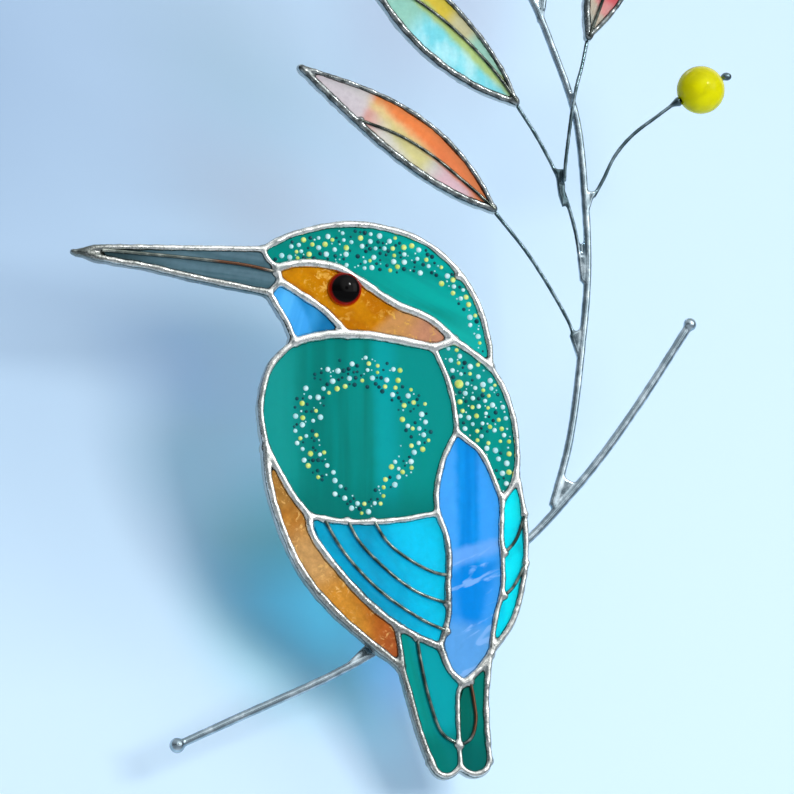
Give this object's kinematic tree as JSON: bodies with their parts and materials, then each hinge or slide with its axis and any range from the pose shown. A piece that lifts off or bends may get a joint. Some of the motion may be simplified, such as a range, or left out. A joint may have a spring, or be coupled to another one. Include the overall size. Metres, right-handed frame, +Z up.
{
  "type": "stained glass suncatcher",
  "caption": "Copper-foiled stained glass kingfisher perched before a wire branch with glass leaves and a berry; hangs at a window from a wire eye and colours the light.",
  "frame": {"origin": "highest point inside the hanging eye at the top of the twig, in the plane of the branch and twig", "axes": "+Z up, along the height; the front with the eye, dots and feather wires faces -Y; the beak points to -X"},
  "size_m": [0.1715, 0.0147, 0.2527],
  "materials": {
    "solder": "bright tin-lead solder, domed and slightly rippled",
    "tinned_wire": "tinned copper wire, dark satin grey",
    "slate_glass": "slate blue opalescent sheet glass",
    "teal_glass": "teal streaky opalescent sheet glass",
    "amber_glass": "amber mottled opalescent sheet glass",
    "sky_glass": "sky blue streaky sheet glass",
    "azure_glass": "azure glass with white wisps",
    "cyan_glass": "cyan textured cathedral glass",
    "sea_glass": "sea green streaky sheet glass",
    "cream_glass": "clear iridescent glass with cream and orange bands",
    "aqua_glass": "clear iridescent glass, aqua to yellow green",
    "rose_glass": "clear iridescent glass, cream to rose",
    "yellow_glass": "lemon yellow glass bead",
    "black_glass": "polished near-black glass eye with a red amber edge"
  },
  "bodies": {
    "root": {"solder_seams": "solder", "beak_glass": "slate_glass", "crown_glass": "teal_glass", "eye_patch_glass": "amber_glass", "throat_glass": "sky_glass", "back_glass": "teal_glass", "shoulder_glass": "teal_glass", "centre_feather_glass": "azure_glass", "wing_glass": "cyan_glass", "belly_glass": "amber_glass", "far_wing_glass": "cyan_glass", "tail_left_glass": "sea_glass", "tail_right_glass": "teal_glass", "beak_wire": "tinned_wire", "wing_wire_1": "tinned_wire", "wing_wire_2": "tinned_wire", "wing_wire_3": "tinned_wire", "far_wing_wire_1": "tinned_wire", "far_wing_wire_2": "tinned_wire", "tail_left_wire": "tinned_wire", "tail_right_wire": "tinned_wire", "eye": "black_glass", "branch": "tinned_wire", "twig": "tinned_wire", "leaf_1_glass": "cream_glass", "leaf_1_rim": "solder", "leaf_1_midrib": "tinned_wire", "leaf_1_stem": "tinned_wire", "leaf_2_glass": "aqua_glass", "leaf_2_rim": "solder", "leaf_2_midrib": "tinned_wire", "leaf_2_stem": "tinned_wire", "leaf_3_glass": "rose_glass", "leaf_3_rim": "solder", "leaf_3_midrib": "tinned_wire", "leaf_3_stem": "tinned_wire", "berry": "yellow_glass", "berry_stem": "tinned_wire"}
  },
  "joints": []
}
